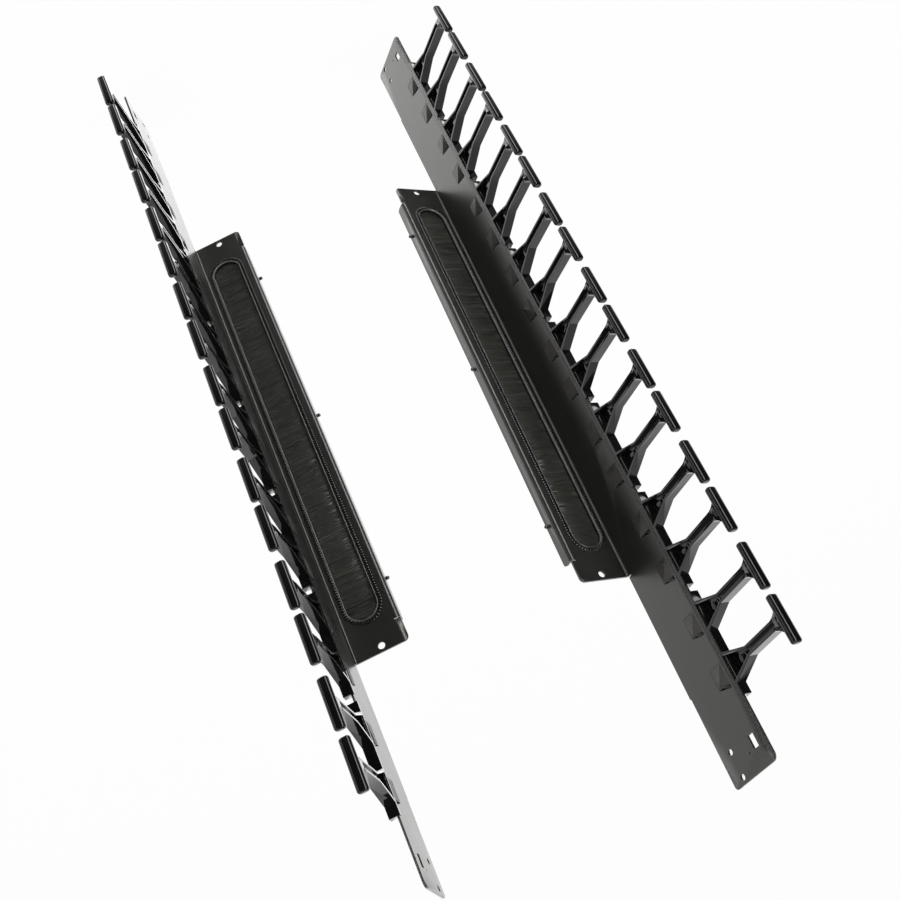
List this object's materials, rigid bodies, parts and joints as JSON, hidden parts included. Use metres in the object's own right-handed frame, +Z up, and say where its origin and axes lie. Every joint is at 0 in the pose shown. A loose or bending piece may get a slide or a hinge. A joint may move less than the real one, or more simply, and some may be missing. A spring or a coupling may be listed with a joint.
{
  "type": "vertical cable manager",
  "caption": "Handed pair of vertical rack cable managers: long bent steel brackets with snap-in T-headed fingers along one edge and a brush-filled cable slot in a side flange.",
  "frame": {"origin": "middle of the right-hand unit's pair of ear holes, on the rear face of its brush flange, which meets the rack", "axes": "+Z up along the long plates, -Y towards the finger heads of the right-hand unit, +X from its long plate across its brush flange"},
  "size_m": [0.3059, 0.2106, 0.8002],
  "materials": {
    "steel": "satin black powder coat",
    "edging": "matt black",
    "carrier": "black",
    "bristles": "dark olive-grey nylon bristles",
    "rivet": "black",
    "finger_plastic": "glossy black"
  },
  "bodies": {
    "root": {"rh_bracket": "steel", "rh_edging": "edging", "rh_brush_carrier": "carrier", "rh_bristles": "bristles", "rh_rivets": "rivet", "lh_bracket": "steel", "lh_edging": "edging", "lh_brush_carrier": "carrier", "lh_bristles": "bristles", "lh_rivets": "rivet", "rh_clip_1": "finger_plastic", "rh_clip_2": "finger_plastic", "rh_clip_3": "finger_plastic", "rh_clip_4": "finger_plastic", "rh_clip_5": "finger_plastic", "rh_clip_6": "finger_plastic", "rh_clip_7": "finger_plastic", "rh_clip_8": "finger_plastic", "lh_clip_1": "finger_plastic", "lh_clip_2": "finger_plastic", "lh_clip_3": "finger_plastic", "lh_clip_4": "finger_plastic", "lh_clip_5": "finger_plastic", "lh_clip_6": "finger_plastic", "lh_clip_7": "finger_plastic", "lh_clip_8": "finger_plastic"}
  },
  "joints": []
}
